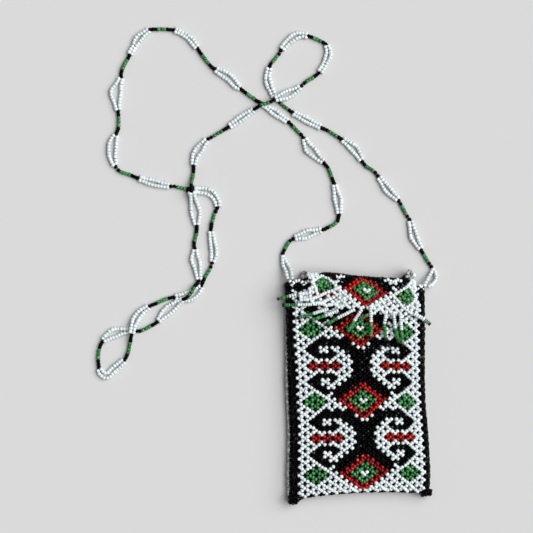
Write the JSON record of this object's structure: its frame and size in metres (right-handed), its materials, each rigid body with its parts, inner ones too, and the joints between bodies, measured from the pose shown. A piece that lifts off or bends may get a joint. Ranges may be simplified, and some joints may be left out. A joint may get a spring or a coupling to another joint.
{
  "type": "beaded pouch",
  "caption": "Flat bead-net pouch with a diamond pattern, a lined pocket, a fringed fold-over flap and a long beaded neck strap.",
  "frame": {"origin": "centre of the face that the pouch rests on, below the middle of its box without the neck strap", "axes": "+X to the viewer's right across the front, +Y up the front towards the flap's fold, +Z out of the patterned front"},
  "size_m": [0.2202, 0.3065, 0.0153],
  "materials": {
    "black_beads": "glossy opaque glass seed beads",
    "white_beads": "glossy opaque glass seed beads",
    "green_beads": "glossy opaque glass seed beads",
    "dark_beads": "glossy dark glass seed beads",
    "lining_cloth": "matt black cotton"
  },
  "bodies": {
    "pouch": {"back_net": "black_beads", "front_net": "black_beads", "left_side_net": "black_beads", "right_side_net": "black_beads", "bottom_net": "black_beads", "lining": "lining_cloth", "mouth_edging": "white_beads", "left_corner_tuft": "black_beads", "right_corner_tuft": "black_beads", "neck_strap": "white_beads"},
    "flap_fold": {"flap_fold": "black_beads"},
    "flap": {"flap_net": "black_beads"},
    "fringe_01": {"fringe_01_white": "white_beads", "fringe_01_green": "green_beads", "fringe_01_end": "dark_beads"},
    "fringe_02": {"fringe_02_white": "white_beads", "fringe_02_green": "green_beads", "fringe_02_end": "dark_beads"},
    "fringe_03": {"fringe_03_white": "white_beads", "fringe_03_green": "green_beads", "fringe_03_end": "dark_beads"},
    "fringe_04": {"fringe_04_white": "white_beads", "fringe_04_green": "green_beads", "fringe_04_end": "dark_beads"},
    "fringe_05": {"fringe_05_white": "white_beads", "fringe_05_green": "green_beads", "fringe_05_end": "dark_beads"},
    "fringe_06": {"fringe_06_white": "white_beads", "fringe_06_green": "green_beads", "fringe_06_end": "dark_beads"},
    "fringe_07": {"fringe_07_white": "white_beads", "fringe_07_green": "green_beads", "fringe_07_end": "dark_beads"},
    "fringe_08": {"fringe_08_white": "white_beads", "fringe_08_green": "green_beads", "fringe_08_end": "dark_beads"},
    "fringe_09": {"fringe_09_white": "white_beads", "fringe_09_green": "green_beads", "fringe_09_end": "dark_beads"},
    "fringe_10": {"fringe_10_white": "white_beads", "fringe_10_green": "green_beads", "fringe_10_end": "dark_beads"},
    "fringe_11": {"fringe_11_white": "white_beads", "fringe_11_green": "green_beads", "fringe_11_end": "dark_beads"},
    "fringe_12": {"fringe_12_white": "white_beads", "fringe_12_green": "green_beads", "fringe_12_end": "dark_beads"}
  },
  "joints": [
    {"name": "fold_hinge", "type": "hinge", "parent": "pouch", "child": "flap_fold", "pos_m": [0.00337, 0.07137, 0.00105], "axis": [-0.9989, 0.0471, 0], "range_deg": [0, 75]},
    {"name": "flap_hinge", "type": "hinge", "parent": "flap_fold", "child": "flap", "pos_m": [0.00337, 0.07137, 0.01175], "axis": [-0.9989, 0.0471, 0], "range_deg": [0, 75]},
    {"name": "fringe_01_swing", "type": "hinge", "parent": "flap", "child": "fringe_01", "pos_m": [-0.03692, 0.06003, 0.01175], "axis": [-0.196, 0.9806, 0], "range_deg": [0, 60]},
    {"name": "fringe_02_swing", "type": "hinge", "parent": "flap", "child": "fringe_02", "pos_m": [-0.02121, 0.05396, 0.01175], "axis": [-0.0488, 0.9988, 0], "range_deg": [0, 60]},
    {"name": "fringe_03_swing", "type": "hinge", "parent": "flap", "child": "fringe_03", "pos_m": [-0.01734, 0.0508, 0.01175], "axis": [-0.304, 0.9527, 0], "range_deg": [0, 60]},
    {"name": "fringe_04_swing", "type": "hinge", "parent": "flap", "child": "fringe_04", "pos_m": [-0.01093, 0.0497, 0.01175], "axis": [-0.3584, 0.9336, 0], "range_deg": [0, 60]},
    {"name": "fringe_05_swing", "type": "hinge", "parent": "flap", "child": "fringe_05", "pos_m": [-0.0004, 0.05055, 0.01175], "axis": [-0.4633, 0.8862, 0], "range_deg": [0, 60]},
    {"name": "fringe_06_swing", "type": "hinge", "parent": "flap", "child": "fringe_06", "pos_m": [0.00408, 0.05041, 0.01175], "axis": [-0.8443, 0.5358, 0], "range_deg": [0, 60]},
    {"name": "fringe_07_swing", "type": "hinge", "parent": "flap", "child": "fringe_07", "pos_m": [0.01311, 0.04836, 0.01175], "axis": [0, 0, 1], "range_deg": [0, 10]},
    {"name": "fringe_08_swing", "type": "hinge", "parent": "flap", "child": "fringe_08", "pos_m": [0.00984, 0.05185, 0.01265], "axis": [-0.9997, -0.0262, 0], "range_deg": [0, 60]},
    {"name": "fringe_09_swing", "type": "hinge", "parent": "flap", "child": "fringe_09", "pos_m": [0.02002, 0.04914, 0.01175], "axis": [-0.9848, 0.1736, 0], "range_deg": [0, 60]},
    {"name": "fringe_10_swing", "type": "hinge", "parent": "flap", "child": "fringe_10", "pos_m": [0.02444, 0.04908, 0.01175], "axis": [-0.9947, -0.1028, 0], "range_deg": [0, 60]},
    {"name": "fringe_11_swing", "type": "hinge", "parent": "flap", "child": "fringe_11", "pos_m": [0.02877, 0.049, 0.01175], "axis": [-0.9972, -0.075, 0], "range_deg": [0, 60]},
    {"name": "fringe_12_swing", "type": "hinge", "parent": "flap", "child": "fringe_12", "pos_m": [0.03934, 0.04727, 0.01175], "axis": [-0.5, -0.866, 0], "range_deg": [0, 60]}
  ],
  "couplings": [
    {"joint": "flap_hinge", "follows": "fold_hinge", "ratio": 1}
  ]
}
